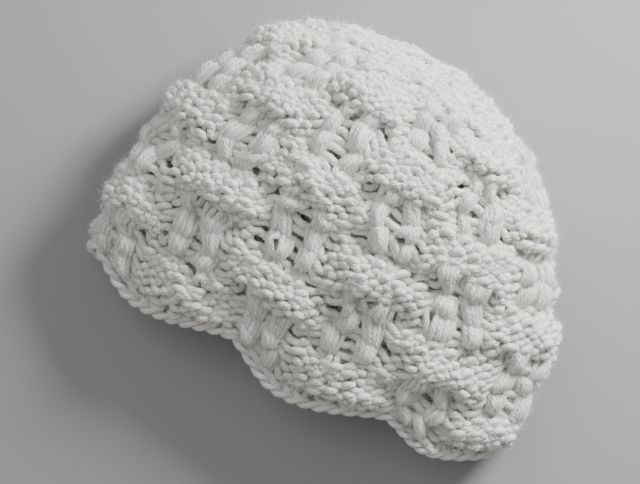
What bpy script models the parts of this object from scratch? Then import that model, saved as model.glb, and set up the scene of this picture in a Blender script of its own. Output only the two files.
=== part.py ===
"""A hand-knitted baby hat lying on its side: lace body, gathered crown and cast-on edge.

The knitting is worked in rounds from the scalloped cast-on edge (round 0) to the gathered tip
(round 48), 72 stitches to a round. The hat lies with its opening towards -Y and its crown
towards +Y, flattened on the underside, and puffed up on top. Units are metres, +Z is up.
"""

import math
from collections import namedtuple

import bmesh
import bpy
import numpy as np
from mathutils import Vector

# Gauge of the knitting
STITCHES = 72
ROUNDS_PER_TIER = 6
ALL_ROUNDS = 48
LACE_TIERS = 5
LAST_SHELL_TIER = 5
CROWN_START_ROUND = 33
TIP_RING_ROUND = 47
TIP_RING_REACH = 0.012

# Knitted wall: two yarn thicknesses where the loops cross
WALL = 0.0045
SEAM_GAP_ROUNDS = 0.2
SMOOTH_BELOW_DEG = 50

# Pattern: each tier repeats a purl shell and a lace fan, and the next tier is moved half a repeat
REPEAT = 12
SHELL_STITCHES = 7
FIRST_SHELL_CENTRE = 4.0
LEAN_PER_ROUND = -0.1
TOP_STRETCH = 0.9
SHELL_RELIEF = 0.0036
SHELL_OVERLAP_STITCHES = 1.5
SHELL_FOOT_ROUNDS = 1.4
SHELL_TOP_ROUNDNESS = 0.7
LACE_SINK = 0.0008

# The relief is full where the wall faces up, and gone where it faces this far down
FLATTENED_FROM = 0.35

# Scallops of the cast-on edge, fading out above it
NOTCH_STITCH = -4.0
SCALLOP_FALL_STITCHES = 4.6
SCALLOP_ROUNDS = 1.45
SCALLOP_FADE_ROUNDS = 5.0
SCALLOP_ROUNDNESS = 1.3

# Waves of the rounds higher up, which follow the staggered shells and die out at the crown
TIER_WAVE_ROUNDS = 0.45
WAVE_START_TIERS = 1.5
WAVE_END_TIERS = 3

# Twisted cast-on edge
EDGE_RADIUS = 0.0019
EDGE_GAP = 0.0007
EDGE_LIFT = 0.0004
EDGE_SIDES_RESOLUTION = 1

# Eyelets of the lace fan: the yarn left round each hole, and (stitch, grid ring) in each fan
EYELET_INSET = 0.00095
FAN_EYELETS = ((0, 0), (4, 0), (1, 2), (3, 2))

# Grid of the wall
RINGS_PER_TIER = 4
CROWN_RINGS = 8

# Shape of a round, seen along the hat: exponents of the domed top, and the rounded lower corners
TOP_FLATNESS = 2.5
TOP_FULLNESS = 1.9
UNDER_CORNER = 0.018
UNDER_CORNER_SHARE = 0.7
OUTLINE_STEPS = 96
NORMAL_STEP = 0.4

# The hat's plan is drawn from the middle of its rim; this puts the origin under its middle
ORIGIN_X = -0.00033
ORIGIN_Y = 0.05288

Section = namedtuple(
    "Section",
    "round left_x left_y right_x right_y top_x top_y top_z under_y under_z fold_z",
)
# Middle of the wall at some of the rounds: where the fabric folds at the left and right, the
# crest of the upper layer, and the middle of the layer that lies on the table
SECTIONS = (
    Section(-6, -0.0775, -0.0210, 0.0775, -0.0070, 0.0010, -0.0225, 0.0215, -0.0080, 0.00225, 0.0120),
    Section(0, -0.0785, -0.0025, 0.0805, 0.0112, 0.0007, -0.0042, 0.0270, 0.0060, 0.00225, 0.0125),
    Section(6, -0.0812, 0.0135, 0.0821, 0.0250, 0.0000, 0.0120, 0.0335, 0.0190, 0.00225, 0.0130),
    Section(12, -0.0826, 0.0312, 0.0800, 0.0452, -0.0007, 0.0298, 0.0390, 0.0345, 0.00225, 0.0132),
    Section(18, -0.0803, 0.0500, 0.0716, 0.0625, -0.0014, 0.0487, 0.0425, 0.0515, 0.00225, 0.0134),
    Section(24, -0.0770, 0.0680, 0.0617, 0.0780, -0.0014, 0.0665, 0.0440, 0.0675, 0.00225, 0.0136),
    Section(30, -0.0682, 0.0852, 0.0520, 0.0912, -0.0007, 0.0847, 0.0425, 0.0840, 0.00225, 0.0138),
    Section(36, -0.0572, 0.1015, 0.0372, 0.1028, 0.0007, 0.0998, 0.0370, 0.0970, 0.00225, 0.0138),
    Section(42, -0.0350, 0.1115, 0.0238, 0.1095, 0.0025, 0.1095, 0.0280, 0.1065, 0.00365, 0.0138),
    Section(45, -0.0155, 0.1150, 0.0137, 0.1135, 0.0033, 0.1136, 0.0212, 0.1110, 0.00660, 0.0138),
    Section(48, 0.0045, 0.1160, 0.0045, 0.1160, 0.0045, 0.1160, 0.0138, 0.1160, 0.01380, 0.0138),
)

WOOL_WHITE = (0.80, 0.78, 0.74, 1.0)
WOOL_ROUGHNESS = 0.85


def clear_scene():
    for obj in list(bpy.data.objects):
        bpy.data.objects.remove(obj, do_unlink=True)


def wool_material(name, colour):
    material = bpy.data.materials.new(name)
    material.use_nodes = True
    shader = material.node_tree.nodes["Principled BSDF"]
    shader.inputs["Base Color"].default_value = colour
    shader.inputs["Roughness"].default_value = WOOL_ROUGHNESS
    shader.inputs["Metallic"].default_value = 0.0
    material.diffuse_color = colour
    return material


def section_at(round_number):
    """The section at any round, on smooth curves through the table's rows."""
    knots = [s.round for s in SECTIONS]
    rows = np.array(SECTIONS, dtype=float)
    slopes = np.gradient(rows, knots, axis=0)
    steps = np.diff(rows, axis=0)
    slopes[1:-1][steps[:-1] * steps[1:] <= 0] = 0.0
    i = int(np.clip(np.searchsorted(knots, round_number) - 1, 0, len(knots) - 2))
    span = knots[i + 1] - knots[i]
    u = (round_number - knots[i]) / span
    start = 2 * u**3 - 3 * u**2 + 1
    end = 1 - start
    leave = (u**3 - 2 * u**2 + u) * span
    arrive = (u**3 - u**2) * span
    values = rows[i] * start + rows[i + 1] * end + slopes[i] * leave + slopes[i + 1] * arrive
    return Section(*values)


def round_outline(s):
    """Closed outline of one round: over the top from left to right, then back underneath."""
    half_width = (s.right_x - s.left_x) / 2
    corner = min(UNDER_CORNER, UNDER_CORNER_SHARE * half_width)
    flat = 1 - corner / max(half_width, 1e-6)
    turn = np.linspace(0, math.pi, OUTLINE_STEPS + 1)
    across = -np.sign(np.cos(turn)) * np.abs(np.cos(turn)) ** (2 / TOP_FLATNESS)
    rise = np.abs(np.sin(turn)) ** (2 / TOP_FULLNESS)
    upper = plan_points(s, across, s.top_y, s.fold_z + (s.top_z - s.fold_z) * rise)
    past_flat = np.clip((np.abs(across) - flat) / (1 - flat + 1e-9), 0, 1)
    under_z = s.fold_z - (s.fold_z - s.under_z) * np.sqrt(1 - past_flat**2)
    lower = plan_points(s, across, s.under_y, under_z)[::-1]
    return np.vstack([upper[:-1], lower[:-1]])


def plan_points(s, across, middle_y, z):
    """Points at shares of the half width, from -1 at the left fold to 1 at the right."""
    side_x = np.where(across > 0, s.right_x, s.left_x)
    side_y = np.where(across > 0, s.right_y, s.left_y)
    x = s.top_x + np.abs(across) * (side_x - s.top_x)
    y = middle_y + across**2 * (side_y - middle_y)
    return np.column_stack([x, y, z])


def scallop(stitch):
    """Height of the scalloped edge above its mean, from -1 at a tip to 1 at a notch."""
    along = (stitch - NOTCH_STITCH) % REPEAT
    if along < SCALLOP_FALL_STITCHES:
        share = along / SCALLOP_FALL_STITCHES
    else:
        share = (REPEAT - along) / (REPEAT - SCALLOP_FALL_STITCHES)
    return 1 - 2 * math.sin(share * math.pi / 2) ** SCALLOP_ROUNDNESS


def waved_round(stitch, round_number):
    """Rounds dip below each shell and rise into each notch, most of all at the edge."""
    fade = math.exp(-max(round_number, 0.0) / SCALLOP_FADE_ROUNDS)
    tier = round_number / ROUNDS_PER_TIER
    tiers_left = ALL_ROUNDS / ROUNDS_PER_TIER - tier
    strength = min(1.0, tier / WAVE_START_TIERS) * min(1.0, tiers_left / WAVE_END_TIERS)
    wave = math.cos(math.pi * tier) * math.cos(2 * math.pi * (stitch - FIRST_SHELL_CENTRE) / REPEAT)
    lift = SCALLOP_ROUNDS * fade * scallop(stitch) + TIER_WAVE_ROUNDS * strength * wave
    return round_number + lift


def base_point(stitch, round_number):
    """Middle of the wall at a stitch, counted from the crest to the right, before the relief."""
    s = section_at(waved_round(stitch, round_number))
    outline = round_outline(s)
    steps = np.linalg.norm(np.diff(outline, axis=0, append=outline[:1]), axis=1)
    travelled = np.concatenate([[0.0], np.cumsum(steps)])
    crest = travelled[OUTLINE_STEPS // 2]
    stretched = stitch + TOP_STRETCH * math.sin(2 * math.pi * stitch / STITCHES)
    share = (stretched + LEAN_PER_ROUND * round_number) / STITCHES
    where = (crest + share * travelled[-1]) % travelled[-1]
    loop = np.vstack([outline, outline[:1]])
    return Vector([float(np.interp(where, travelled, loop[:, k])) for k in range(3)])


def outward(stitch, round_number):
    """Unit normal of the wall, away from the hollow."""
    s = NORMAL_STEP
    across = base_point(stitch + s, round_number) - base_point(stitch - s, round_number)
    up = base_point(stitch, round_number + s) - base_point(stitch, round_number - s)
    return across.cross(up).normalized()


def shell_relief(stitch, round_number):
    """How far the fabric stands proud: shells puff out and hang over the lace below them."""
    tier = math.floor(round_number / ROUNDS_PER_TIER)
    if not 0 <= tier <= LAST_SHELL_TIER:
        return 0.0
    above_foot = round_number - tier * ROUNDS_PER_TIER
    centre = FIRST_SHELL_CENTRE + (tier % 2) * REPEAT / 2
    off_centre = (stitch - centre + REPEAT / 2) % REPEAT - REPEAT / 2
    width = SHELL_STITCHES + SHELL_OVERLAP_STITCHES
    across = max(0.0, 1 - (2 * off_centre / width) ** 2)
    foot = math.sin(math.pi / 2 * min(1.0, above_foot / SHELL_FOOT_ROUNDS))
    top = math.cos(math.pi / 2 * above_foot / ROUNDS_PER_TIER) ** SHELL_TOP_ROUNDNESS
    return SHELL_RELIEF * across * foot * top - LACE_SINK * (1 - across)


def wall_point(stitch, round_number):
    """Middle of the wall with its relief, which is pressed flat where the hat lies."""
    point = base_point(stitch, round_number)
    normal = outward(stitch, round_number)
    free = min(1.0, max(0.0, (normal.z + FLATTENED_FROM) / (2 * FLATTENED_FROM)))
    return point + normal * shell_relief(stitch, round_number) * free


def place(point):
    return point - Vector((ORIGIN_X, ORIGIN_Y, 0.0))


def fan_cells():
    """Grid cells, as (column, ring), that hold an eyelet."""
    cells = set()
    for tier in range(LACE_TIERS):
        centre = FIRST_SHELL_CENTRE + (tier % 2) * REPEAT / 2
        first = math.floor(centre + SHELL_STITCHES / 2 + 0.5)
        for start in range(first, first + STITCHES, REPEAT):
            for column, ring in FAN_EYELETS:
                cells.add(((start + column) % STITCHES, tier * RINGS_PER_TIER + ring))
    return cells


def wrapped_grid(name, rounds, eyelets=()):
    """A grid primitive wrapped round the hat, with a column for each stitch."""
    rings = len(rounds) - 1
    bm = bmesh.new()
    bmesh.ops.create_grid(bm, x_segments=STITCHES, y_segments=rings, size=0.5)
    holes = []
    for face in bm.faces:
        middle = face.calc_center_median()
        cell = (round((middle.x + 0.5) * STITCHES - 0.5), round((middle.y + 0.5) * rings - 0.5))
        if cell in eyelets:
            holes.append(face)
    for vert in bm.verts:
        stitch = round((vert.co.x + 0.5) * STITCHES)
        ring = round((vert.co.y + 0.5) * rings)
        vert.co = place(wall_point(stitch, rounds[ring]))
    bmesh.ops.remove_doubles(bm, verts=bm.verts, dist=1e-5)
    if holes:
        bmesh.ops.inset_individual(bm, faces=holes, thickness=EYELET_INSET)
        bmesh.ops.delete(bm, geom=holes, context="FACES")
    mesh = bpy.data.meshes.new(name)
    bm.to_mesh(mesh)
    bm.free()
    return mesh


def knitted_wall(name, mesh, material, collection):
    """Gives an open sheet the thickness of the knitting, half to each side."""
    obj = bpy.data.objects.new(name, mesh)
    collection.objects.link(obj)
    obj.data.materials.append(material)
    solid = obj.modifiers.new("Knitted thickness", "SOLIDIFY")
    solid.thickness = WALL
    solid.offset = 0.0
    solid.use_even_offset = True
    solid.use_rim = True
    mesh.shade_smooth()
    mesh.set_sharp_from_angle(angle=math.radians(SMOOTH_BELOW_DEG))
    return obj


def lace_body(material, collection):
    rounds = np.arange(0, CROWN_START_ROUND + 0.1, ROUNDS_PER_TIER / RINGS_PER_TIER)
    mesh = wrapped_grid("lace_body", rounds, fan_cells())
    return knitted_wall("lace_body", mesh, material, collection)


def crown(material, collection):
    """The decreasing rounds, gathered to a point at the tip."""
    rounds = np.linspace(CROWN_START_ROUND + SEAM_GAP_ROUNDS, TIP_RING_ROUND, CROWN_RINGS + 1)
    mesh = wrapped_grid("crown", rounds)
    bm = bmesh.new()
    bm.from_mesh(mesh)
    tip = place(Vector((SECTIONS[-1].top_x, SECTIONS[-1].top_y, SECTIONS[-1].top_z)))
    open_edges = [e for e in bm.edges if e.is_boundary and near(e, tip)]
    cap = bmesh.ops.contextual_create(bm, geom=open_edges)["faces"]
    centre = bmesh.ops.poke(bm, faces=cap)["verts"][0]
    centre.co = tip
    bm.to_mesh(mesh)
    bm.free()
    return knitted_wall("crown", mesh, material, collection)


def near(edge, tip):
    return all((vert.co - tip).length < TIP_RING_REACH for vert in edge.verts)


def cast_on_edge(material, collection):
    """The twisted cast-on that borders the scallops, one point to a stitch."""
    curve = bpy.data.curves.new("cast_on_edge", "CURVE")
    curve.dimensions = "3D"
    curve.bevel_depth = EDGE_RADIUS
    curve.bevel_resolution = EDGE_SIDES_RESOLUTION
    spline = curve.splines.new("POLY")
    spline.points.add(STITCHES - 1)
    spline.use_cyclic_u = True
    for stitch in range(STITCHES):
        along = wall_point(stitch + 0.5, 0.0) - wall_point(stitch - 0.5, 0.0)
        away = along.cross(outward(stitch, 0.0)).normalized()
        point = place(wall_point(stitch, 0.0) + away * (EDGE_RADIUS + EDGE_GAP))
        point.z = max(point.z, EDGE_RADIUS + EDGE_LIFT)
        spline.points[stitch].co = (*point, 1.0)
    obj = bpy.data.objects.new("cast_on_edge", curve)
    collection.objects.link(obj)
    curve.materials.append(material)
    return obj


def main():
    clear_scene()
    collection = bpy.data.collections.new("baby_hat")
    bpy.context.scene.collection.children.link(collection)
    wool = wool_material("white wool", WOOL_WHITE)
    lace_body(wool, collection)
    crown(wool, collection)
    cast_on_edge(wool, collection)


main()
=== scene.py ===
# %% [markdown]
# # A hand-knitted baby hat
#
# This lesson models a small white hat that lies on its side, as it would on a table.
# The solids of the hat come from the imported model, and this script adds what makes it look
# knitted: every loop of yarn, the twisted cast-on edge and the fuzz of the fibres.

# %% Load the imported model
import math

import bpy
import numpy as np
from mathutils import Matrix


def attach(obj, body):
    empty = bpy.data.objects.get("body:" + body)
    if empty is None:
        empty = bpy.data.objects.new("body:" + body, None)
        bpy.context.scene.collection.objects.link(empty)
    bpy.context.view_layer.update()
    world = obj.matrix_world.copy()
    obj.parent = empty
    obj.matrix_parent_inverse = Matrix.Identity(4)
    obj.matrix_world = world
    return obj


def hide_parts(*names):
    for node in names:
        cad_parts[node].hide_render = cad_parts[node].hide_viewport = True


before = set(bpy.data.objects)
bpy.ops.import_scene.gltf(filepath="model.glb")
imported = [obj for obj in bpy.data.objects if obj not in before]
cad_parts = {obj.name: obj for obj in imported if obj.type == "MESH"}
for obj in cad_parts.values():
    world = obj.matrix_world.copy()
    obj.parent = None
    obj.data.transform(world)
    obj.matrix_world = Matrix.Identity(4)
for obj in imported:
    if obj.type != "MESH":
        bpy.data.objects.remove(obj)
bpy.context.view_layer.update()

MM = 0.001
BODY = "root"
dice = np.random.default_rng(7)

# %% [markdown]
# ## The wall that the yarn follows
#
# The hat is a tube that is closed at the crown. Each round of knitting is a closed curve: it
# domes over the top, folds at the left and right, and lies flat underneath. A short table gives
# that curve at a few rounds, and smooth curves join the rows. Every loop of yarn is then placed by
# two numbers, its stitch along the round and its round above the edge, so the loops follow
# whatever shape the wall has.

# %% Gauge and the sections of the wall
STITCHES = 72
ROUNDS = 48
ROUNDS_PER_TIER = 6
STITCH_WIDTH = 5.1 * MM
ROUND_HEIGHT = 3.15 * MM

# round, left x y, right x y, crest of the top x y z, middle of the underside y z, height of the folds
SECTIONS = np.array((
    (-6, -0.0775, -0.0210, 0.0775, -0.0070, 0.0010, -0.0225, 0.0215, -0.0080, 0.00225, 0.0120),
    (0, -0.0785, -0.0025, 0.0805, 0.0112, 0.0007, -0.0042, 0.0270, 0.0060, 0.00225, 0.0125),
    (6, -0.0812, 0.0135, 0.0821, 0.0250, 0.0000, 0.0120, 0.0335, 0.0190, 0.00225, 0.0130),
    (12, -0.0826, 0.0312, 0.0800, 0.0452, -0.0007, 0.0298, 0.0390, 0.0345, 0.00225, 0.0132),
    (18, -0.0803, 0.0500, 0.0716, 0.0625, -0.0014, 0.0487, 0.0425, 0.0515, 0.00225, 0.0134),
    (24, -0.0770, 0.0680, 0.0617, 0.0780, -0.0014, 0.0665, 0.0440, 0.0675, 0.00225, 0.0136),
    (30, -0.0682, 0.0852, 0.0520, 0.0912, -0.0007, 0.0847, 0.0425, 0.0840, 0.00225, 0.0138),
    (36, -0.0572, 0.1015, 0.0372, 0.1028, 0.0007, 0.0998, 0.0370, 0.0970, 0.00225, 0.0138),
    (42, -0.0350, 0.1115, 0.0238, 0.1095, 0.0025, 0.1095, 0.0280, 0.1065, 0.00365, 0.0138),
    (45, -0.0155, 0.1150, 0.0137, 0.1135, 0.0033, 0.1136, 0.0212, 0.1110, 0.00660, 0.0138),
    (48, 0.0045, 0.1160, 0.0045, 0.1160, 0.0045, 0.1160, 0.0138, 0.1160, 0.01380, 0.0138),
))
ORIGIN = np.array((-0.00033, 0.05288, 0.0))

print("table of", len(SECTIONS), "sections for", ROUNDS, "rounds")


# %% Smooth curves through the sections
def sections_at(rounds):
    """Sections at an array of rounds, on smooth curves through the table's rows."""
    knots = SECTIONS[:, 0]
    slopes = np.gradient(SECTIONS, knots, axis=0)
    steps = np.diff(SECTIONS, axis=0)
    slopes[1:-1][steps[:-1] * steps[1:] <= 0] = 0.0
    i = np.clip(np.searchsorted(knots, rounds) - 1, 0, len(knots) - 2)
    span = (knots[i + 1] - knots[i])[:, None]
    u = (rounds - knots[i])[:, None] / span
    start = 2 * u**3 - 3 * u**2 + 1
    leave = (u**3 - 2 * u**2 + u) * span
    arrive = (u**3 - u**2) * span
    values = SECTIONS[i] * start + SECTIONS[i + 1] * (1 - start)
    return (values + slopes[i] * leave + slopes[i + 1] * arrive).T[:, :, None]


print("the rim is", round((sections_at(np.zeros(1))[3] - sections_at(np.zeros(1))[1]).item() / MM), "mm wide")

# %% The outline of one round
TOP_FLATNESS = 2.5
TOP_FULLNESS = 1.9
UNDER_CORNER = 18 * MM
UNDER_CORNER_SHARE = 0.7
OUTLINE_STEPS = 96


def plan_points(section, across, middle_y, z):
    """Points at shares of the half width, from -1 at the left fold to 1 at the right."""
    _, left_x, left_y, right_x, right_y, top_x = section[:6]
    side_x = np.where(across > 0, right_x, left_x)
    side_y = np.where(across > 0, right_y, left_y)
    x = top_x + np.abs(across) * (side_x - top_x)
    y = middle_y + across**2 * (side_y - middle_y)
    return np.stack([x, y, z], axis=2)


def round_outlines(section):
    """Closed outlines of rounds: over the top from left to right, then back underneath."""
    _, left_x, _, right_x, _, _, top_y, top_z, under_y, under_z, fold_z = section
    half_width = (right_x - left_x) / 2
    corner = np.minimum(UNDER_CORNER, UNDER_CORNER_SHARE * half_width)
    flat = 1 - corner / np.maximum(half_width, 1e-6)
    turn = np.linspace(0, math.pi, OUTLINE_STEPS + 1)[None, :]
    across = -np.sign(np.cos(turn)) * np.abs(np.cos(turn)) ** (2 / TOP_FLATNESS)
    rise = np.abs(np.sin(turn)) ** (2 / TOP_FULLNESS)
    upper = plan_points(section, across, top_y, fold_z + (top_z - fold_z) * rise)
    past_flat = np.clip((np.abs(across) - flat) / (1 - flat + 1e-9), 0, 1)
    lower_z = fold_z - (fold_z - under_z) * np.sqrt(1 - past_flat**2)
    lower = plan_points(section, across, under_y, lower_z)[:, ::-1]
    return np.concatenate([upper[:, :-1], lower[:, :-1], upper[:, :1]], axis=1)


print("points in an outline:", round_outlines(sections_at(np.zeros(1))).shape[1])

# %% [markdown]
# ## Scallops, waves and shells
#
# The lace fans have yarn-overs that spread the rounds, and the purl shells pull them together, so
# the edge is scalloped and the rounds above it wave. The shells also stand proud of the lace, most
# of all along their lower edge, which hangs over the fan below. The pattern is drawn by formulas
# from its repeat of 12 stitches and 6 rounds, and each tier is moved half a repeat.

# %% Scallops, and waves of the rounds
REPEAT = 12
SHELL_STITCHES = 7
FIRST_SHELL_CENTRE = 4.0
NOTCH_STITCH = -4.0
SCALLOP_FALL_STITCHES = 4.6
SCALLOP_ROUNDS = 1.45
SCALLOP_FADE_ROUNDS = 5.0
SCALLOP_ROUNDNESS = 1.3
TIER_WAVE_ROUNDS = 0.45
WAVE_START_TIERS = 1.5
WAVE_END_TIERS = 3


def scallop(stitches):
    """Height of the scalloped edge above its mean, from -1 at a tip to 1 at a notch."""
    along = (stitches - NOTCH_STITCH) % REPEAT
    falling = along / SCALLOP_FALL_STITCHES
    rising = (REPEAT - along) / (REPEAT - SCALLOP_FALL_STITCHES)
    share = np.where(along < SCALLOP_FALL_STITCHES, falling, rising)
    return 1 - 2 * np.sin(share * math.pi / 2) ** SCALLOP_ROUNDNESS


def waved_rounds(stitches, rounds):
    """Rounds dip below each shell and rise into each notch, most of all at the edge."""
    fade = np.exp(-np.maximum(rounds, 0.0) / SCALLOP_FADE_ROUNDS)
    tier = rounds / ROUNDS_PER_TIER
    tiers_left = ROUNDS / ROUNDS_PER_TIER - tier
    strength = np.minimum(1.0, tier / WAVE_START_TIERS) * np.minimum(1.0, tiers_left / WAVE_END_TIERS)
    swing = np.cos(2 * math.pi * (stitches - FIRST_SHELL_CENTRE) / REPEAT)
    wave = np.cos(math.pi * tier) * swing
    return rounds + SCALLOP_ROUNDS * fade * scallop(stitches) + TIER_WAVE_ROUNDS * strength * wave


print("scallops round the rim:", STITCHES // REPEAT)

# %% Shells that stand proud of the lace
SHELL_RELIEF = 4.4 * MM
SHELL_OVERLAP_STITCHES = 1.5
SHELL_FOOT_ROUNDS = 2.3
SHELL_TOP_ROUNDNESS = 0.7
LACE_SINK = 0.6 * MM
LAST_SHELL_TIER = 5


def shell_relief(stitches, rounds):
    """How far the wall stands proud: shells puff out and hang over the lace below them."""
    tier = np.floor(rounds / ROUNDS_PER_TIER)
    above_foot = rounds - tier * ROUNDS_PER_TIER
    centre = FIRST_SHELL_CENTRE + (tier % 2) * REPEAT / 2
    off_centre = (stitches - centre + REPEAT / 2) % REPEAT - REPEAT / 2
    width = SHELL_STITCHES + SHELL_OVERLAP_STITCHES
    across = np.maximum(0.0, 1 - (2 * off_centre / width) ** 2)
    foot = np.sin(math.pi / 2 * np.minimum(1.0, above_foot / SHELL_FOOT_ROUNDS))
    top = np.cos(math.pi / 2 * above_foot / ROUNDS_PER_TIER) ** SHELL_TOP_ROUNDNESS
    relief = SHELL_RELIEF * across * foot * top - LACE_SINK * (1 - across)
    return np.where((tier >= 0) & (tier <= LAST_SHELL_TIER), relief, 0.0)


print("shells stand", round(SHELL_RELIEF / MM, 1), "mm proud at the most")

# %% The wall along one round
LEAN_PER_ROUND = -0.1
TOP_STRETCH = 0.9


def ring_of_wall(stitches, round_number):
    """Points on the middle of the wall along one round, before the relief."""
    rounds = np.full_like(stitches, round_number)
    outlines = round_outlines(sections_at(waved_rounds(stitches, rounds)))
    steps = np.linalg.norm(np.diff(outlines, axis=1), axis=2)
    travelled = np.concatenate([np.zeros((len(stitches), 1)), np.cumsum(steps, axis=1)], axis=1)
    total = travelled[:, -1]
    crest = travelled[:, OUTLINE_STEPS // 2]
    stretched = stitches + TOP_STRETCH * np.sin(2 * math.pi * stitches / STITCHES)
    share = (stretched + LEAN_PER_ROUND * round_number) / STITCHES
    where = (crest + share * total) % total
    i = (travelled <= where[:, None]).sum(axis=1) - 1
    i = np.clip(i, 0, travelled.shape[1] - 2)
    row = np.arange(len(stitches))
    part = (where - travelled[row, i]) / np.maximum(travelled[row, i + 1] - travelled[row, i], 1e-9)
    return outlines[row, i] * (1 - part[:, None]) + outlines[row, i + 1] * part[:, None] - ORIGIN


rim_length = np.linalg.norm(np.diff(ring_of_wall(np.arange(0, STITCHES, 1.0), 0.0), axis=0), axis=1).sum()
print("the rim is", round(rim_length / MM), "mm round")

# %% A table of the whole wall
TABLE_STEP = 0.25
FIRST_TABLE_ROUND = -2.0
LAST_TABLE_ROUND = 47.75
FLATTENED_FROM = 0.35


def wall_normals(points):
    """Unit normals of a table of points, which wraps round along its second axis."""
    across = np.roll(points, -1, axis=1) - np.roll(points, 1, axis=1)
    up = np.gradient(points, axis=0)
    normals = np.cross(across, up)
    return normals / np.maximum(np.linalg.norm(normals, axis=2, keepdims=True), 1e-12)


table_stitches = np.arange(0, STITCHES, TABLE_STEP)
table_rounds = np.arange(FIRST_TABLE_ROUND, LAST_TABLE_ROUND + TABLE_STEP / 2, TABLE_STEP)
wall_points = np.array([ring_of_wall(table_stitches, r) for r in table_rounds])
plain_normals = wall_normals(wall_points)
free = np.clip((plain_normals[:, :, 2:] + FLATTENED_FROM) / (2 * FLATTENED_FROM), 0, 1)
relief = shell_relief(table_stitches[None, :], table_rounds[:, None])[:, :, None]
wall_points = wall_points + plain_normals * relief * free
wall_out = wall_normals(wall_points)
print("wall table of", wall_points.shape[0], "by", wall_points.shape[1], "points")


# %% Places on the wall
def on_wall(stitches, rounds, depth):
    """Points and outward directions at places on the wall, moved out by a depth."""
    column = (stitches % STITCHES) / TABLE_STEP
    row = np.clip((rounds - FIRST_TABLE_ROUND) / TABLE_STEP, 0, len(table_rounds) - 1.001)
    i, j = row.astype(int), column.astype(int)
    v, u = (row - i)[:, None], (column - j)[:, None]
    j_next = (j + 1) % len(table_stitches)
    j = j % len(table_stitches)

    def blended(table):
        low = table[i, j] * (1 - u) + table[i, j_next] * u
        high = table[i + 1, j] * (1 - u) + table[i + 1, j_next] * u
        return low * (1 - v) + high * v

    out = blended(wall_out)
    out = out / np.maximum(np.linalg.norm(out, axis=1, keepdims=True), 1e-9)
    return blended(wall_points) + out * depth[:, None], out


crest = on_wall(np.zeros(1), np.zeros(1), np.zeros(1))[0][0]
print("the edge's crest is", round(crest[2] / MM), "mm high")

# %% [markdown]
# ## The stitches of a round
#
# A loop starts low between two stitches, goes up one leg, over its head and down the other leg.
# The next round's loop is pulled through its head. In a knit stitch the legs lie in front, and in
# a purl stitch the head and feet do. The shells and the crown are purl. A lace fan between two
# shells has five columns: three cross the eyelets, and two carry the petals. Knitting is a grid,
# so a round is kept as the centres and widths of its stitches.

# %% Columns of a tier
LACE_WIDTHS = (0.75, 1.35, 0.8, 1.35, 0.75)
PETALS = (1, 3)


def tier_columns(tier):
    """Widths of one repeat's stitches, and each one's place in the lace fan or -1 in a shell."""
    shell = [1.0] * SHELL_STITCHES
    fan = list(range(len(LACE_WIDTHS)))
    if tier % 2 == 0:
        return shell + list(LACE_WIDTHS), [-1] * SHELL_STITCHES + fan
    return shell[:1] + list(LACE_WIDTHS) + shell[1:], [-1] + fan + [-1] * (SHELL_STITCHES - 1)


print("stitches in one repeat:", len(tier_columns(0)[0]))

# %% How the crown decreases
CROWN_FROM = 36
CROWN_STITCH = 4.7 * MM
FEWEST_STITCHES = 8


def crown_count(round_number):
    """Stitches left in a round of the crown."""
    ring = ring_of_wall(table_stitches, round_number)
    perimeter = np.linalg.norm(ring - np.roll(ring, 1, axis=0), axis=1).sum()
    return int(np.clip(perimeter / CROWN_STITCH, FEWEST_STITCHES, STITCHES))


print("crown counts:", [crown_count(number + 0.5) for number in range(CROWN_FROM, ROUNDS)])

# %% One round, and what hangs in its loops
FIRST_LACE_PARENTS = (1, 1, 1, 3, 3)
FIRST_EDGE = FIRST_SHELL_CENTRE - SHELL_STITCHES / 2
KNIT, PURL = 1.0, -1.0


class Round:
    """One round: its stitches' centres, widths and places in the lace fan."""

    def __init__(self, number):
        self.number = number
        self.row = number % ROUNDS_PER_TIER
        if number < CROWN_FROM:
            widths, fan = tier_columns(number // ROUNDS_PER_TIER)
            widths = np.tile(widths, STITCHES // REPEAT)
            self.fan = np.tile(fan, STITCHES // REPEAT)
        else:
            count = crown_count(number + 0.5)
            widths = np.full(count, STITCHES / count)
            self.fan = np.full(count, -1)
        self.widths = widths
        edges = FIRST_EDGE + np.concatenate([[0], np.cumsum(widths)])
        self.centres = (edges[1:] + edges[:-1]) / 2
        self.lace = self.fan >= 0
        self.petal = np.isin(self.fan, PETALS)
        self.signs = np.where(self.lace, KNIT, PURL)


def child_stitches(this, above):
    """Which stitch of the round above goes through each loop of this round."""
    count, next_count = len(this.centres), len(above.centres)
    child = np.arange(count)
    if next_count != count:
        return (child * next_count) // count
    if this.row == ROUNDS_PER_TIER - 1:
        place = np.maximum(above.fan, 0)
        child = np.where(above.lace, child + np.array(FIRST_LACE_PARENTS)[place] - place, child)
    return child


rounds = [Round(number) for number in range(ROUNDS)]
print("stitches in all:", sum(len(r.centres) for r in rounds))

# %% [markdown]
# ## The path of the yarn
#
# All loops share one formula. The yarn's place along the round runs forwards with a sway that
# narrows the neck, its height is a cosine, and its depth goes to the front and back twice a loop.
# The lower half of a loop belongs to its own stitch, and the upper half to the stitch that hangs
# in it, so each leg blends from one to the other. Across a lace fan the yarn runs straight, as a
# bar that the petals cover. A little chance keeps the hand-made look, and its seed is fixed.

# %% Smooth steps, and chance along the yarn
WOBBLE = 0.3 * MM
WOBBLE_SAMPLES = 5


def smooth(x):
    x = np.clip(x, 0, 1)
    return x * x * (3 - 2 * x)


def wobble(count):
    """Smooth chance along a whole round, about WOBBLE high."""
    noise = dice.normal(size=count)
    window = np.hanning(2 * WOBBLE_SAMPLES + 1)
    padded = np.concatenate([noise[-WOBBLE_SAMPLES:], noise, noise[:WOBBLE_SAMPLES]])
    return WOBBLE * np.convolve(padded, window, "valid") / np.sqrt((window**2).sum())


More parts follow.
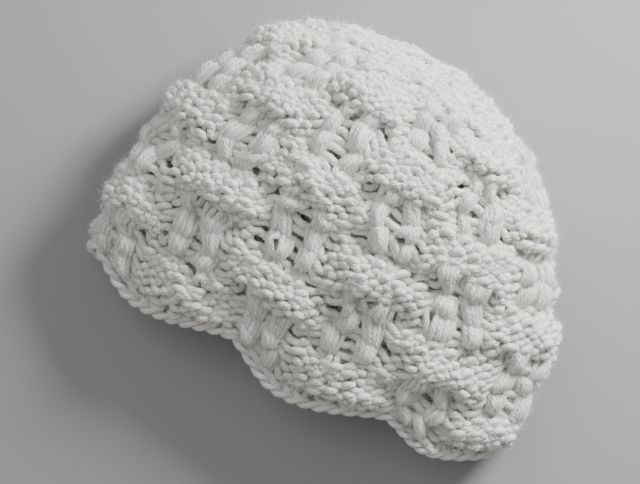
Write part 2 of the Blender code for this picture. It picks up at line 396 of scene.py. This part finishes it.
print("half a step is", smooth(np.array(0.5)))

# %% The loops of one round
SAMPLES = 13
LOOP_REACH = 0.78
NECK_SWAY = 0.16
HEAD_SLANT = 0.5
LOOP_DEPTH = 1.2 * MM
FOOT_SINK = 0.7 * MM
YARN_RADIUS = 1.45 * MM
DECREASE_SPREAD = 0.3
DECREASE_DEPTH = 0.5 * MM
HEAD_SQUEEZE = 0.8
WIDEST_HEAD_SHARE = 1.2
WIDEST_HEAD_EXTRA = 0.2
PLACE_JITTER = 0.07
DEPTH_JITTER = 0.3 * MM
RADIUS_JITTER = 0.07


def loops_of_round(this, above):
    """Stitch, round, depth and yarn radius of a round's loops, each an array of loop and sample."""
    count = len(this.centres)
    t = ((np.arange(SAMPLES) + 0.5) / SAMPLES * 2 * math.pi)[None, :]
    up = smooth((1 - np.cos(t)) / 2)
    child = child_stitches(this, above)
    turn = (above.centres[child] - this.centres + STITCHES / 2) % STITCHES - STITCHES / 2
    offset = np.arange(count) - child
    same_count = len(above.centres) == count
    shared = same_count & (np.bincount(child, minlength=len(above.centres))[child] > 1)
    head_shift = turn + np.where(shared, DECREASE_SPREAD * offset, 0)
    head_width = above.widths[child] * np.where(shared, HEAD_SQUEEZE, 1.0)
    head_width = np.minimum(head_width, WIDEST_HEAD_SHARE * this.widths + WIDEST_HEAD_EXTRA)

    jitter = dice.normal(size=(count, 4))
    centre = this.centres[:, None] + head_shift[:, None] * up + PLACE_JITTER * jitter[:, :1] * up
    width = this.widths[:, None] * (1 - up) + head_width[:, None] * up
    stitch = centre + width * (t / (2 * math.pi) - 0.5 + NECK_SWAY * np.sin(2 * t))
    reach = LOOP_REACH * (1 + PLACE_JITTER * jitter[:, 1:2] * up)
    height = this.number + 0.5 - reach * np.cos(t) + HEAD_SLANT * (stitch - centre) * up
    side = this.signs[:, None] * (1 - up) + above.signs[child][:, None] * up
    depth = -LOOP_DEPTH * np.cos(2 * t) * side + DEPTH_JITTER * jitter[:, 2:3] * up
    depth = depth - FOOT_SINK * (1 - up)
    depth = depth - np.where(shared, DECREASE_DEPTH * np.abs(offset), 0)[:, None] * up
    radius = YARN_RADIUS * (1 + RADIUS_JITTER * jitter[:, 3:4] * np.sin(t / 2) ** 2)
    return [a * np.ones((count, SAMPLES)) for a in (stitch, height, depth, radius)]


print("points in a loop:", SAMPLES)

# %% Bars across the lace, and the whole path of a round
BAR_SAMPLES = slice(1, SAMPLES, 3)
BAR_LEVEL = 0.3
BAR_RADIUS = 1.5 * MM


def bars_of_round(this, path):
    """Replaces the loops of the lace columns with a bar that runs straight across them."""
    stitch, height, depth, radius = path
    share = ((np.arange(SAMPLES) + 0.5) / SAMPLES)[None, :]
    foot = this.number + 0.5 - LOOP_REACH
    lace = np.flatnonzero(this.lace)
    first = (this.fan[lace] == 0)[:, None]
    last = (this.fan[lace] == len(LACE_WIDTHS) - 1)[:, None]
    on_bar = np.where(first, smooth(share), np.where(last, smooth(1 - share), 1.0))
    stitch[lace] = this.centres[lace][:, None] + this.widths[lace][:, None] * (share - 0.5)
    height[lace] = foot + (this.number + BAR_LEVEL - foot) * on_bar
    depth[lace] = (LOOP_DEPTH - FOOT_SINK) * (1 - on_bar)
    radius[lace] = YARN_RADIUS + (BAR_RADIUS - YARN_RADIUS) * on_bar


def round_path(this):
    path = loops_of_round(this, rounds[min(this.number + 1, ROUNDS - 1)])
    bars_of_round(this, path)
    kept = np.ones((len(this.centres), SAMPLES), dtype=bool)
    in_bar = np.zeros(SAMPLES, dtype=bool)
    in_bar[BAR_SAMPLES] = True
    kept[this.lace] = in_bar
    stitch, height, depth, radius = (a[kept] for a in path)
    stitch += wobble(len(stitch)) / STITCH_WIDTH
    height += wobble(len(height)) / ROUND_HEIGHT
    depth += wobble(len(depth))
    return stitch, height, depth, radius


strands = [(this.number, round_path(this)) for this in rounds]
print("points along the rounds:", sum(len(path[0]) for _, path in strands))

# %% [markdown]
# ## Petals
#
# Where loops are knitted together they make a tuft, narrow at its foot and spread at its head.
# Knitting each one stitch by stitch would need a pattern that the eye can't read from a fluffy
# yarn. So a petal here is five loops side by side that cover two rounds of bars. The middle loops
# stand out most, so it is rounded. No two petals have quite the same size and lean.

# %% Petals over the bars
PETAL_ROUNDS = 2
PETAL_LEVEL = 1.5
PETAL_STRANDS = 5
PETAL_SAMPLES = 12
PETAL_WIDTH = 6.2 * MM
PETAL_FOOT_SHARE = 0.5
PETAL_REACH = 1.1
PETAL_FRONT = 3.2 * MM
PETAL_BACK = 1.3 * MM
PETAL_ROUNDNESS = 0.5
PETAL_YARN = 1.3 * MM
STRAND_JITTER = 0.07
SHIFT_JITTER = 0.12
LEVEL_JITTER = 0.16
WIDTH_JITTER = 0.1
REACH_JITTER = 0.1
LEAN_JITTER = 0.2


def petal_strand(centre, level, place, own):
    """One closed loop of a petal, at a place from -1 at its left to 1 at its right."""
    shift, rise, wider, taller, lean = own
    turn = np.arange(PETAL_SAMPLES) / PETAL_SAMPLES * 2 * math.pi
    jitter = 1 + STRAND_JITTER * dice.normal(size=4)
    share = (1 - np.cos(turn)) / 2
    spread = (PETAL_FOOT_SHARE + (1 - PETAL_FOOT_SHARE) * np.sqrt(share)) * (1 + wider)
    off_centre = place * jitter[0] * spread * PETAL_WIDTH / 2 / STITCH_WIDTH
    stitch = centre + shift + lean * share + off_centre
    height = level + rise - PETAL_REACH * (1 + taller) * jitter[1] * np.cos(turn)
    front = PETAL_FRONT * jitter[2] * (1 - PETAL_ROUNDNESS * place**2)
    depth = np.sin(turn) * np.where(np.sin(turn) > 0, front, PETAL_BACK)
    radius = np.full(PETAL_SAMPLES, PETAL_YARN * jitter[3])
    return stitch, height, depth, radius


petal_jitter = (SHIFT_JITTER, LEVEL_JITTER, WIDTH_JITTER, REACH_JITTER, LEAN_JITTER)
petal_strands = []
for this in rounds[:CROWN_FROM:PETAL_ROUNDS]:
    for centre in this.centres[this.petal]:
        own = dice.normal(size=len(petal_jitter)) * petal_jitter
        for place in np.linspace(-1, 1, PETAL_STRANDS):
            strand = petal_strand(centre, this.number + PETAL_LEVEL, place, own)
            petal_strands.append((this.number, strand))
print("petal strands:", len(petal_strands))

# %% [markdown]
# ## Opening the eyelets
#
# A yarn-over leaves a small round hole beside a petal's foot. Here every strand near a hole is
# moved away from its middle, least where it is far already. The larger holes of the upper side
# are listed, and chance opens some of the others. The whole fabric also strays a little from
# its grid, in soft waves that carry neighbouring stitches along together.

# %% Where the eyelets are
# stitch and round of each larger eyelet on the upper side
PLACED_EYELETS = (
    (-9.6, 5.4), (-7.7, 6.1), (10.0, 4.7), (11.5, 6.9), (3.9, 7.1), (-9.1, 7.3), (9.6, 7.5),
    (7.75, 7.3), (-5.5, 7.5), (5.9, 8.7), (-8.75, 9.75), (6.25, 11.0), (-5.0, 11.4), (0.5, 11.4),
    (-1.4, 12.6), (4.75, 12.6), (-12.7, 12.6), (11.0, 13.0), (-3.1, 13.4), (6.6, 13.4), (8.6, 14.2),
    (12.9, 14.2), (-1.75, 16.8), (-3.75, 17.9), (-5.7, 18.5), (4.6, 18.7), (7.0, 19.4), (4.9, 20.5),
    (-5.5, 20.9), (0.5, 23.1), (5.5, 23.9), (-1.6, 24.3), (8.0, 24.5), (-4.25, 25.1),
)
PLACED_STITCHES = 14
PLACED_ROUNDS = (4, 26)
EYELET_RISE = 1.0
EYELET_CHANCE = 0.45
EYELET_RADII = (1.3 * MM, 2.2 * MM)
EYELET_STRAY = 0.2


def eyelets():
    """Stitch, round and radius of each eyelet."""
    found = [(middle, level, dice.uniform(*EYELET_RADII)) for middle, level in PLACED_EYELETS]
    for this in rounds[:CROWN_FROM:PETAL_ROUNDS]:
        level = this.number + EYELET_RISE
        for centre in this.centres[this.lace & ~this.petal]:
            around = (centre + STITCHES / 2) % STITCHES - STITCHES / 2
            placed = abs(around) < PLACED_STITCHES and PLACED_ROUNDS[0] < level < PLACED_ROUNDS[1]
            shift = dice.normal(size=2) * EYELET_STRAY
            if dice.uniform() < EYELET_CHANCE and not placed:
                found.append((centre + shift[0], level + shift[1], dice.uniform(*EYELET_RADII)))
    return found


print("eyelets placed by hand:", len(PLACED_EYELETS))

# %% Push the yarn away from an eyelet
EYELET_REACH = 7 * MM
PUSH_POWER = 3


def push_from(eyelet, stitch, height):
    """Moves places away from one eyelet."""
    middle, level, radius = eyelet
    dx = ((stitch - middle + STITCHES / 2) % STITCHES - STITCHES / 2) * STITCH_WIDTH
    dy = (height - level) * ROUND_HEIGHT
    distance = np.maximum(np.hypot(dx, dy), 1e-6)
    pushed = (distance**PUSH_POWER + radius**PUSH_POWER) ** (1 / PUSH_POWER)
    extra = np.where(distance < EYELET_REACH, pushed / distance - 1, 0)
    return stitch + dx * extra / STITCH_WIDTH, height + dy * extra / ROUND_HEIGHT


print("an eyelet moves yarn up to", round(EYELET_REACH / MM), "mm away")

# %% Let the grid stray in soft waves
STRAY_WAVES = 10
WAVES_AROUND = (4, 22)
STEEPEST_WAVE = 1.6
STRAY_STITCHES = 0.22
STRAY_ROUNDS = 0.2
STRAY_DEPTH = 0.6 * MM
EDGE_CALM_ROUNDS = 3
EYELET_NEAR_ROUNDS = 3.5


def soft_waves():
    """A smooth random function of stitch and round, about 1 high."""
    around = dice.integers(*WAVES_AROUND, STRAY_WAVES) * 2 * math.pi / STITCHES
    upward = dice.uniform(-STEEPEST_WAVE, STEEPEST_WAVE, STRAY_WAVES)
    phase = dice.uniform(0, 2 * math.pi, STRAY_WAVES)

    def wave(stitch, height):
        angle = stitch[:, None] * around + height[:, None] * upward + phase
        return np.sin(angle).sum(axis=1) / math.sqrt(STRAY_WAVES / 2)
    return wave


stray = [soft_waves() for _ in range(3)]
holes = eyelets()


def settled(number, path):
    """The places of a strand after the eyelets and the straying have moved them."""
    stitch, height, depth, radius = path
    for hole in holes:
        if abs(hole[1] - number - 1) < EYELET_NEAR_ROUNDS:
            stitch, height = push_from(hole, stitch, height)
    moves = [wave(stitch, height) for wave in stray]
    stitch = stitch + STRAY_STITCHES * moves[0]
    height = height + STRAY_ROUNDS * moves[1] * smooth(height / EDGE_CALM_ROUNDS)
    return stitch, height, depth + STRAY_DEPTH * moves[2], radius


strands = [(number, settled(number, path)) for number, path in strands]
petal_strands = [(number, settled(number, path)) for number, path in petal_strands]
print("eyelets:", len(holes))

# %% [markdown]
# ## From paths to yarn
#
# A tube is laid along each path. Its cross-section has few sides, because there are thousands of
# loops, and smooth shading rounds it. The tube's own map runs along the yarn in metres and once
# around it, so that the twist of the plies can follow the yarn.

# %% A tube of yarn along a closed path
SIDES = 6
FLOOR_CLEARANCE = 0.05 * MM


def unit(vectors):
    return vectors / np.maximum(np.linalg.norm(vectors, axis=-1, keepdims=True), 1e-12)


def tube_map(points):
    """Corners of the tube's map: metres along the yarn, and one turn around it."""
    count = len(points)
    length = np.concatenate([[0], np.cumsum(np.linalg.norm(np.diff(points, axis=0), axis=1))])
    closing = length[-1] + np.linalg.norm(points[0] - points[-1])
    start = dice.uniform(0, 1)
    u0 = start + np.repeat(length[:, None], SIDES, axis=1)
    u1 = start + np.repeat(np.append(length[1:], closing)[:, None], SIDES, axis=1)
    v0 = np.repeat(np.arange(SIDES)[None, :] / SIDES, count, axis=0)
    v1 = v0 + 1 / SIDES
    corners = [np.stack(corner, 2) for corner in ((u0, v0), (u0, v1), (u1, v1), (u1, v0))]
    return np.stack(corners, 2).reshape(-1, 4, 2)


def yarn_tube(points, out, radius, side=None):
    """Vertices, faces, map, spokes, lengthwise and outward directions of a closed tube."""
    along = unit(np.roll(points, -1, axis=0) - np.roll(points, 1, axis=0))
    if side is None:
        side = np.cross(along, out)
    side = unit(side - along * (side * along).sum(axis=1, keepdims=True))
    face = np.cross(side, along)
    angle = np.arange(SIDES) / SIDES * 2 * math.pi
    cosines, sines = np.cos(angle)[None, :, None], np.sin(angle)[None, :, None]
    spokes = face[:, None] * cosines + side[:, None] * sines
    verts = points[:, None] + spokes * radius[:, None, None]
    verts[:, :, 2] = np.maximum(verts[:, :, 2], FLOOR_CLEARANCE)

    count = len(points)
    ring = np.arange(count)[:, None] * SIDES
    next_ring = np.roll(np.arange(count), -1)[:, None] * SIDES
    corner = np.arange(SIDES)[None, :]
    next_corner = (corner + 1) % SIDES
    faces = [ring + corner, ring + next_corner, next_ring + next_corner, next_ring + corner]
    faces = np.stack(faces, axis=2).reshape(-1, 4)
    lengthwise = np.repeat(along, SIDES, axis=0)
    outward = np.repeat(out, SIDES, axis=0)
    return verts.reshape(-1, 3), faces, tube_map(points), spokes.reshape(-1, 3), lengthwise, outward


print("a tube has", SIDES, "sides")

# %% Tubes on the wall, along the rounds and over the petals
ACROSS_STEP = 0.3


def tube_on_wall(path):
    stitch, height, depth, radius = path
    points, out = on_wall(stitch, height, depth)
    return yarn_tube(points, out, radius)


def hooked_tube(path):
    """A tube that turns from the front to the back, so its sides follow the round."""
    stitch, height, depth, radius = path
    points, out = on_wall(stitch, height, depth)
    ahead = on_wall(stitch + ACROSS_STEP, height, depth)[0]
    behind = on_wall(stitch - ACROSS_STEP, height, depth)[0]
    return yarn_tube(points, out, radius, ahead - behind)


tubes = [(number, tube_on_wall(path)) for number, path in strands]
tubes += [(number, hooked_tube(path)) for number, path in petal_strands]
print("tubes:", len(tubes), "faces:", sum(len(tube[1]) for _, tube in tubes))


# %% One mesh from many tubes
def joined_mesh(name, tubes):
    """One mesh object from several tubes."""
    start = 0
    all_faces = []
    for verts, faces, *_ in tubes:
        all_faces.append(faces + start)
        start += len(verts)
    verts = np.concatenate([t[0] for t in tubes])
    faces = np.concatenate(all_faces)
    mesh = bpy.data.meshes.new(name)
    mesh.vertices.add(len(verts))
    mesh.vertices.foreach_set("co", verts.ravel())
    mesh.loops.add(faces.size)
    mesh.loops.foreach_set("vertex_index", faces.ravel().astype(np.int32))
    mesh.polygons.add(len(faces))
    mesh.polygons.foreach_set("loop_start", np.arange(0, faces.size, faces.shape[1], dtype=np.int32))
    mesh.polygons.foreach_set("use_smooth", np.ones(len(faces), dtype=bool))
    uv_layer = mesh.uv_layers.new(name="yarn")
    uv_layer.data.foreach_set("uv", np.concatenate([t[2] for t in tubes]).ravel())
    mesh.update()
    mesh.validate()
    obj = bpy.data.objects.new(name, mesh)
    bpy.context.scene.collection.objects.link(obj)
    return obj


print("a tube's sides are shaded smooth")

# %% [markdown]
# ## White wool
#
# The yarn is soft, matt and white, with plies that twist round each other and fine fibres along
# them. Gloss and softness are the same all over, so they sit on the shader itself. The plies and
# fibres follow the yarn's own map: they raise the surface, the valleys between the plies are
# painted darker as painted shade, and the fibres vary the white at random. An image of yarn could
# do the same, but it would be a file beside the script.

# %% A math node in one line
def math_node(nodes, links, operation, first, second):
    node = nodes.new("ShaderNodeMath")
    node.operation = operation
    for socket, value in zip(node.inputs, (first, second)):
        if isinstance(value, (int, float)):
            socket.default_value = value
        else:
            links.new(value, socket)
    return node.outputs[0]


print("math nodes take numbers or sockets")

# %% The wool material
WOOL_WHITE = (0.92, 0.905, 0.865, 1.0)
# the darker colour: painted shade in the ply valleys, and also the fibres' own random darker tone
WOOL_PAINTED_SHADE_AND_TONE = (0.66, 0.63, 0.56, 1.0)
PLIES = 5
PLY_PITCH = 8 * MM
PLY_HEIGHT = 0.4 * MM
PLY_SHARE = 0.55
FIBRE_SHARE = 0.9
FIBRES_AROUND = 22
FIBRES_PER_METRE = 330
SHADE_AND_TONE_GAIN = 1.1


def plies_and_fibres(nodes, links):
    """Socket with the height of the yarn's surface, from 0 in a valley to about 1."""
    yarn_map = nodes.new("ShaderNodeUVMap")
    yarn_map.uv_map = "yarn"
    split = nodes.new("ShaderNodeSeparateXYZ")
    links.new(yarn_map.outputs[0], split.inputs[0])
    turns = math_node(nodes, links, "MULTIPLY", split.outputs["X"], 1 / PLY_PITCH)
    twist = math_node(nodes, links, "ADD", turns, split.outputs["Y"])
    angle = math_node(nodes, links, "MULTIPLY", twist, math.pi * PLIES)
    lobe = math_node(nodes, links, "ABSOLUTE", math_node(nodes, links, "SINE", angle, 0), 0)

    fibre_place = nodes.new("ShaderNodeCombineXYZ")
    around = math_node(nodes, links, "MULTIPLY", twist, FIBRES_AROUND)
    along = math_node(nodes, links, "MULTIPLY", split.outputs["X"], FIBRES_PER_METRE)
    links.new(around, fibre_place.inputs[0])
    links.new(along, fibre_place.inputs[1])
    fibres = nodes.new("ShaderNodeTexNoise")
    fibres.inputs["Scale"].default_value = 1.0
    fibres.inputs["Detail"].default_value = 2.0
    links.new(fibre_place.outputs[0], fibres.inputs["Vector"])
    plies = math_node(nodes, links, "MULTIPLY", lobe, PLY_SHARE)
    hairs = math_node(nodes, links, "MULTIPLY", fibres.outputs[0], FIBRE_SHARE)
    return math_node(nodes, links, "ADD", plies, hairs)


def wool_material():
    material = bpy.data.materials.new("white wool yarn")
    material.use_nodes = True
    nodes, links = material.node_tree.nodes, material.node_tree.links
    shader = nodes["Principled BSDF"]
    shader.inputs["Roughness"].default_value = 0.48
    shader.inputs["Specular IOR Level"].default_value = 0.5
    shader.inputs["Sheen Weight"].default_value = 0.5
    shader.inputs["Sheen Roughness"].default_value = 0.35
    shader.inputs["Subsurface Weight"].default_value = 0.3
    shader.inputs["Subsurface Radius"].default_value = (1.0, 0.9, 0.8)
    shader.inputs["Subsurface Scale"].default_value = 2.0 * MM

    height = plies_and_fibres(nodes, links)
    # painted shade: the colour is darker in the valleys between the plies, and it also varies at random with
    # the fibres
    shade_and_tone = nodes.new("ShaderNodeMix")
    shade_and_tone.data_type = "RGBA"
    shade_and_tone.inputs["A"].default_value = WOOL_PAINTED_SHADE_AND_TONE
    shade_and_tone.inputs["B"].default_value = WOOL_WHITE
    links.new(math_node(nodes, links, "MULTIPLY", height, SHADE_AND_TONE_GAIN), shade_and_tone.inputs["Factor"])
    links.new(shade_and_tone.outputs["Result"], shader.inputs["Base Color"])

    bump = nodes.new("ShaderNodeBump")
    bump.inputs["Strength"].default_value = 1.0
    bump.inputs["Distance"].default_value = PLY_HEIGHT
    links.new(height, bump.inputs["Height"])
    links.new(bump.outputs[0], shader.inputs["Normal"])
    return material


wool = wool_material()
print("material:", wool.name)

# %% [markdown]
# ## The knitted pieces
#
# The tubes are joined in bands of whole tiers, each a piece small enough to handle. The bands up
# to the crown's first round stand for the body's solid, and the last one for the crown's.

# %% Join the rounds into pieces
BANDS = (
    ("knit_tiers_1_2", 0, 12, "lace_body"),
    ("knit_tiers_3_4", 12, 24, "lace_body"),
    ("knit_tiers_5_6", 24, 33, "lace_body"),
    ("knit_crown", 33, ROUNDS, "crown"),
)


def finish_piece(obj, *nodes):
    obj.data.materials.append(wool)
    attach(obj, BODY)
    if nodes:
        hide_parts(*nodes)
    triangles = sum(len(p.vertices) - 2 for p in obj.data.polygons)
    print(obj.name, triangles, "triangles")


for name, first, last, node in BANDS:
    band = [tube for number, tube in tubes if first <= number < last]
    finish_piece(joined_mesh(name, band), node)

# %% [markdown]
# ## The cast-on edge
#
# Casting on lays a second strand round the foot of each first loop, so the edge is a twisted cord
# with a lump at every stitch. Two strands are wound round each other along the scallops, with the
# same tubes as the rounds, so that the yarn matches.

# %% Twisted cord along the rim
EDGE_STRAND_RADIUS = 1.15 * MM
EDGE_TWIST_RADIUS = 0.95 * MM
EDGE_TURNS = STITCHES // 2
EDGE_SAMPLES = 12
EDGE_ROUND = -0.75


def edge_strand(phase):
    count = STITCHES * EDGE_SAMPLES
    share = np.arange(count) / count
    angle = share * EDGE_TURNS * 2 * math.pi + phase
    stitch = share * STITCHES
    height = EDGE_ROUND + EDGE_TWIST_RADIUS * np.sin(angle) / ROUND_HEIGHT
    points, out = on_wall(stitch, height, EDGE_TWIST_RADIUS * np.cos(angle))
    return yarn_tube(points, out, np.full(count, EDGE_STRAND_RADIUS))


edge = joined_mesh("twisted_cast_on", [edge_strand(0), edge_strand(math.pi)])
finish_piece(edge, "cast_on_edge")

# %% [markdown]
# ## Fuzz
#
# Soft yarn has fine fibre ends all over it, which blur every strand and outline. Most are short
# and lie nearly along the yarn, so a thin spike of four triangles does for each. A few stray hairs
# are longer and bend, and they get more joints. Blender's own hair would be thinner still, but it
# is left out of an exported model, and these are plain meshes.

# %% Closed spikes from lists of joints
def spike_faces(joints):
    """Faces of one spike, three corners to a joint and one at its tip."""
    faces = [(0, 1, 2)]
    last, tip = 3 * (joints - 2), 3 * (joints - 1)
    for low in range(0, last, 3):
        for a, b in ((low, low + 2), (low + 2, low + 1), (low + 1, low)):
            faces += [(a, b, b + 3), (a, b + 3, a + 3)]
    return faces + [(last, last + 2, tip), (last + 2, last + 1, tip), (last + 1, last, tip)]


def spikes(places, radii):
    """Closed three-sided spikes through places, an array of spike, joint and coordinate."""
    count, joints, _ = places.shape
    side = unit(np.cross(places[:, 1] - places[:, 0], dice.normal(size=(count, 3))))
    other = unit(np.cross(places[:, 1] - places[:, 0], side))
    angles = np.arange(3) * 2 * math.pi / 3
    spokes = side[:, None] * np.cos(angles)[:, None] + other[:, None] * np.sin(angles)[:, None]
    rings = places[:, :-1, None] + spokes[:, None] * radii[None, :-1, None, None]
    verts = np.concatenate([rings.reshape(count, -1, 3), places[:, -1:]], axis=1)
    verts[:, :, 2] = np.maximum(verts[:, :, 2], FLOOR_CLEARANCE)
    start = np.arange(count)[:, None, None] * (3 * (joints - 1) + 1)
    faces = (np.array(spike_faces(joints))[None] + start).reshape(-1, 3)
    return verts.reshape(-1, 3), faces, np.zeros((len(faces), 3, 2))


print("faces of a spike with two joints:", len(spike_faces(2)))

# %% Where fibres can grow
LEAST_FACING_OUT = -0.2
LEAST_FACING_UP = -0.5

all_verts = np.concatenate([tube[0] for _, tube in tubes])
all_spokes = np.concatenate([tube[3] for _, tube in tubes])
all_along = np.concatenate([tube[4] for _, tube in tubes])
all_out = np.concatenate([tube[5] for _, tube in tubes])
faces_out = (all_spokes * all_out).sum(axis=1) > LEAST_FACING_OUT
outer = np.flatnonzero(faces_out & (all_out[:, 2] > LEAST_FACING_UP))
print("roots to choose from:", len(outer))

# %% Fibre ends all over the yarn
FUZZ_PIECES = 3
FIBRES_PER_PIECE = 36000
FIBRE_LENGTHS = (1.2 * MM, 4.2 * MM)
FIBRE_RADIUS = 0.05 * MM
FIBRE_LIFT = 0.7
FIBRE_SCATTER = 0.4


def fibre_ends():
    pick = dice.choice(outer, FIBRES_PER_PIECE)
    ways = dice.choice([-1.0, 1.0], (FIBRES_PER_PIECE, 1))
    scatter = dice.normal(size=(FIBRES_PER_PIECE, 3)) * FIBRE_SCATTER
    heading = unit(all_along[pick] * ways + all_spokes[pick] * FIBRE_LIFT + scatter)
    root = all_verts[pick]
    tip = root + heading * dice.uniform(*FIBRE_LENGTHS, size=(FIBRES_PER_PIECE, 1))
    return spikes(np.stack([root, tip], axis=1), np.array([FIBRE_RADIUS, 0]))


for number in range(FUZZ_PIECES):
    finish_piece(joined_mesh("wool_fuzz_%d" % (number + 1), [fibre_ends()]))

# %% A few long stray hairs
HAIRS = 900
HAIR_LENGTHS = (3.0 * MM, 9.0 * MM)
HAIR_RADIUS = 0.035 * MM
HAIR_JOINTS = 6
HAIR_SCATTER = 0.8
HAIR_BEND = 0.45


def stray_hairs():
    pick = dice.choice(outer, HAIRS)
    heading = unit(all_spokes[pick] + dice.normal(size=(HAIRS, 3)) * HAIR_SCATTER)
    step = dice.uniform(*HAIR_LENGTHS, size=(HAIRS, 1)) / HAIR_JOINTS
    places = [all_verts[pick]]
    for _ in range(HAIR_JOINTS):
        heading = unit(heading + dice.normal(size=(HAIRS, 3)) * HAIR_BEND)
        places.append(places[-1] + heading * step)
    return spikes(np.stack(places, axis=1), np.linspace(HAIR_RADIUS, 0, HAIR_JOINTS + 1))


finish_piece(joined_mesh("stray_hairs", [stray_hairs()]))

# %% [markdown]
# ## The floor
#
# The hat lies on a plain pale floor. It is one large plane, so that its edges stay out of sight
# from every side, and matt, so that it takes soft shadows.

# %% Floor
FLOOR_SIZE = 4.0
FLOOR_GREY = (0.33, 0.33, 0.335, 1.0)

bpy.ops.object.select_all(action="DESELECT")
bpy.ops.mesh.primitive_plane_add(size=FLOOR_SIZE, location=(0, 0, 0))
floor = bpy.context.active_object
floor.name = "floor"
floor_paint = bpy.data.materials.new("pale floor")
floor_paint.use_nodes = True
floor_paint.node_tree.nodes["Principled BSDF"].inputs["Base Color"].default_value = FLOOR_GREY
floor_paint.node_tree.nodes["Principled BSDF"].inputs["Roughness"].default_value = 0.9
floor.data.materials.append(floor_paint)
print("floor", FLOOR_SIZE, "m")

# %% [markdown]
# ## The light
#
# A soft light from beyond the crown rakes low across the relief, so that each shell is bright on
# top and dark towards the rim. A large weak light from the left and a pale world lift the shadows.

# %% Lights
WORLD_STRENGTH = 0.30
# name, place, size and power
LIGHTS = (
    ("key", (0.14, 0.46, 0.27), 0.20, 7.4),
    ("fill", (-0.65, 0.05, 0.95), 1.0, 4.2),
)


def area_light(name, place, size, power):
    data = bpy.data.lights.new(name, "AREA")
    data.size = size
    data.energy = power
    light = bpy.data.objects.new(name, data)
    bpy.context.scene.collection.objects.link(light)
    light.location = place
    aim = -light.location.normalized()
    light.rotation_euler = aim.to_track_quat("-Z", "Y").to_euler()


for settings in LIGHTS:
    area_light(*settings)
world = bpy.data.worlds.new("soft room")
world.use_nodes = True
world.node_tree.nodes["Background"].inputs["Color"].default_value = (1.0, 1.0, 1.0, 1.0)
world.node_tree.nodes["Background"].inputs["Strength"].default_value = WORLD_STRENGTH
bpy.context.scene.world = world
print("lights:", [name for name, *_ in LIGHTS])

# %% [markdown]
# ## The camera
#
# The camera looks straight down, as in the photo, and is turned so that the hat lies at the
# photo's angle. Its lens follows from the width that the frame covers at the middle of the hat.

# %% Camera
SENSOR_WIDTH = 36.0
FRAME_WIDTH = 224 * MM
CAMERA_HEIGHT = 0.75
MID_HEIGHT = 22 * MM
CAMERA_AIM = (-9.65 * MM, -11.5 * MM)
CAMERA_TURN = 31.17

camera_data = bpy.data.cameras.new("camera")
camera_data.sensor_width = SENSOR_WIDTH
camera_data.lens = camera_data.sensor_width * CAMERA_HEIGHT / FRAME_WIDTH
camera = bpy.data.objects.new("camera", camera_data)
camera.location = (*CAMERA_AIM, MID_HEIGHT + CAMERA_HEIGHT)
camera.rotation_euler = (0, 0, math.radians(CAMERA_TURN))
bpy.context.scene.collection.objects.link(camera)
bpy.context.scene.camera = camera
print("camera lens", round(camera_data.lens), "mm")
